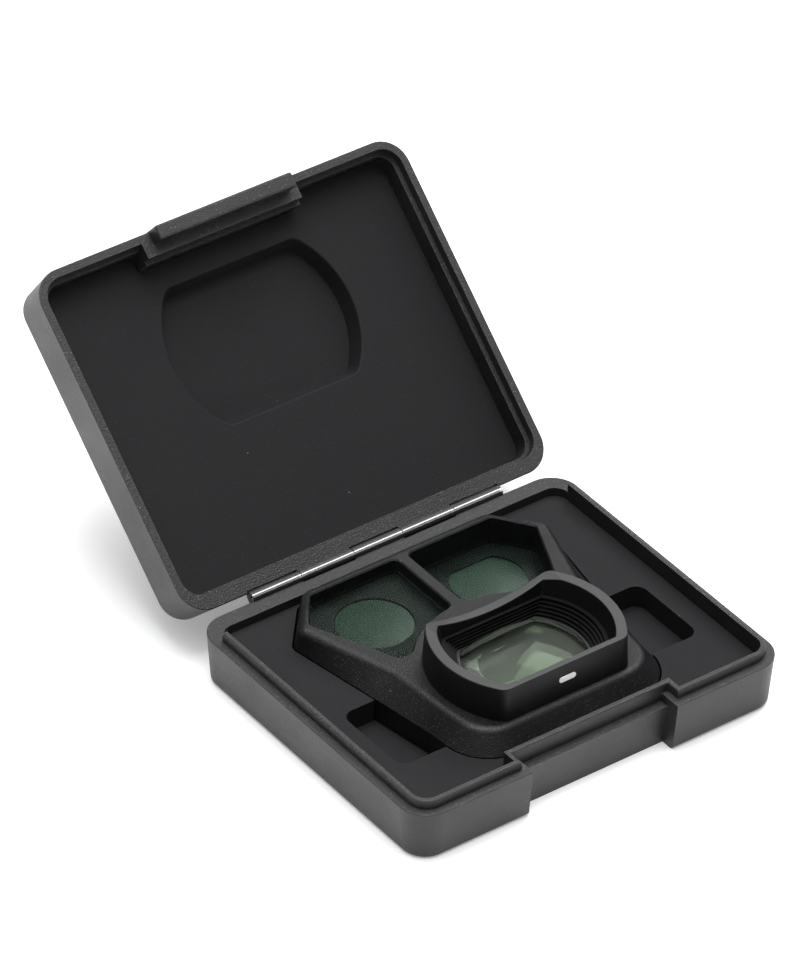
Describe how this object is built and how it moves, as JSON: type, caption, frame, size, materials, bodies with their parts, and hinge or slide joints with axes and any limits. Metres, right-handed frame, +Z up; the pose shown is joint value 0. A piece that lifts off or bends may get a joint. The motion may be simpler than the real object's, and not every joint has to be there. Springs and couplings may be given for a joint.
{
  "type": "cased camera lens adapter",
  "caption": "Clip-on wide-angle lens adapter with a petal hood and two windows, in a hinged black plastic case with a fitted tray and finger notch.",
  "frame": {"origin": "centre of the underside of the case's base, on the surface it stands on", "axes": "+X along the hinge, +Y from the front notch to the hinge at the back, +Z up"},
  "size_m": [0.076, 0.1164, 0.0544],
  "materials": {
    "case_plastic": "fine-grained satin black",
    "liner": "dull black moulded liner with a fine texture",
    "pin_steel": "polished",
    "frame_plastic": "grained satin black",
    "hood_plastic": "smooth satin black",
    "ring_metal": "black anodised satin",
    "lens_glass": "clear, green anti-reflection coating",
    "seal_rubber": "matte black foam rubber",
    "mask_black": "black printed mask",
    "coated_glass": "green anti-reflection coating",
    "pane_glass": "clear flat pane, green tint",
    "clip_steel": "spring steel",
    "mark_white": "white print"
  },
  "bodies": {
    "base": {"base_shell": "case_plastic", "tray_insert": "liner", "hinge_pin": "pin_steel"},
    "lid": {"lid_shell": "case_plastic", "lid_liner": "liner"},
    "adapter": {"adapter_frame": "frame_plastic", "baffle_lower": "hood_plastic", "baffle_upper": "hood_plastic", "clip_left": "clip_steel", "clip_right": "clip_steel", "coated_disc_left": "coated_glass", "coated_disc_right": "coated_glass", "front_element": "lens_glass", "hood": "hood_plastic", "index_mark": "mark_white", "lens_retainer": "ring_metal", "lens_spacer": "ring_metal", "rear_element": "lens_glass", "rear_retainer": "ring_metal", "rear_seal": "seal_rubber", "window_mask_left": "mask_black", "window_mask_right": "mask_black", "window_pane_left": "pane_glass", "window_pane_right": "pane_glass"}
  },
  "joints": [
    {"name": "lid_hinge", "type": "hinge", "parent": "base", "child": "lid", "pos_m": [0, 0.0321, 0.0099], "axis": [1, 0, 0], "range_deg": [0, 138.4]},
    {"name": "adapter_lift", "type": "slide", "parent": "base", "child": "adapter", "axis": [0, 0, 1], "range_m": [0, 0.03]}
  ]
}
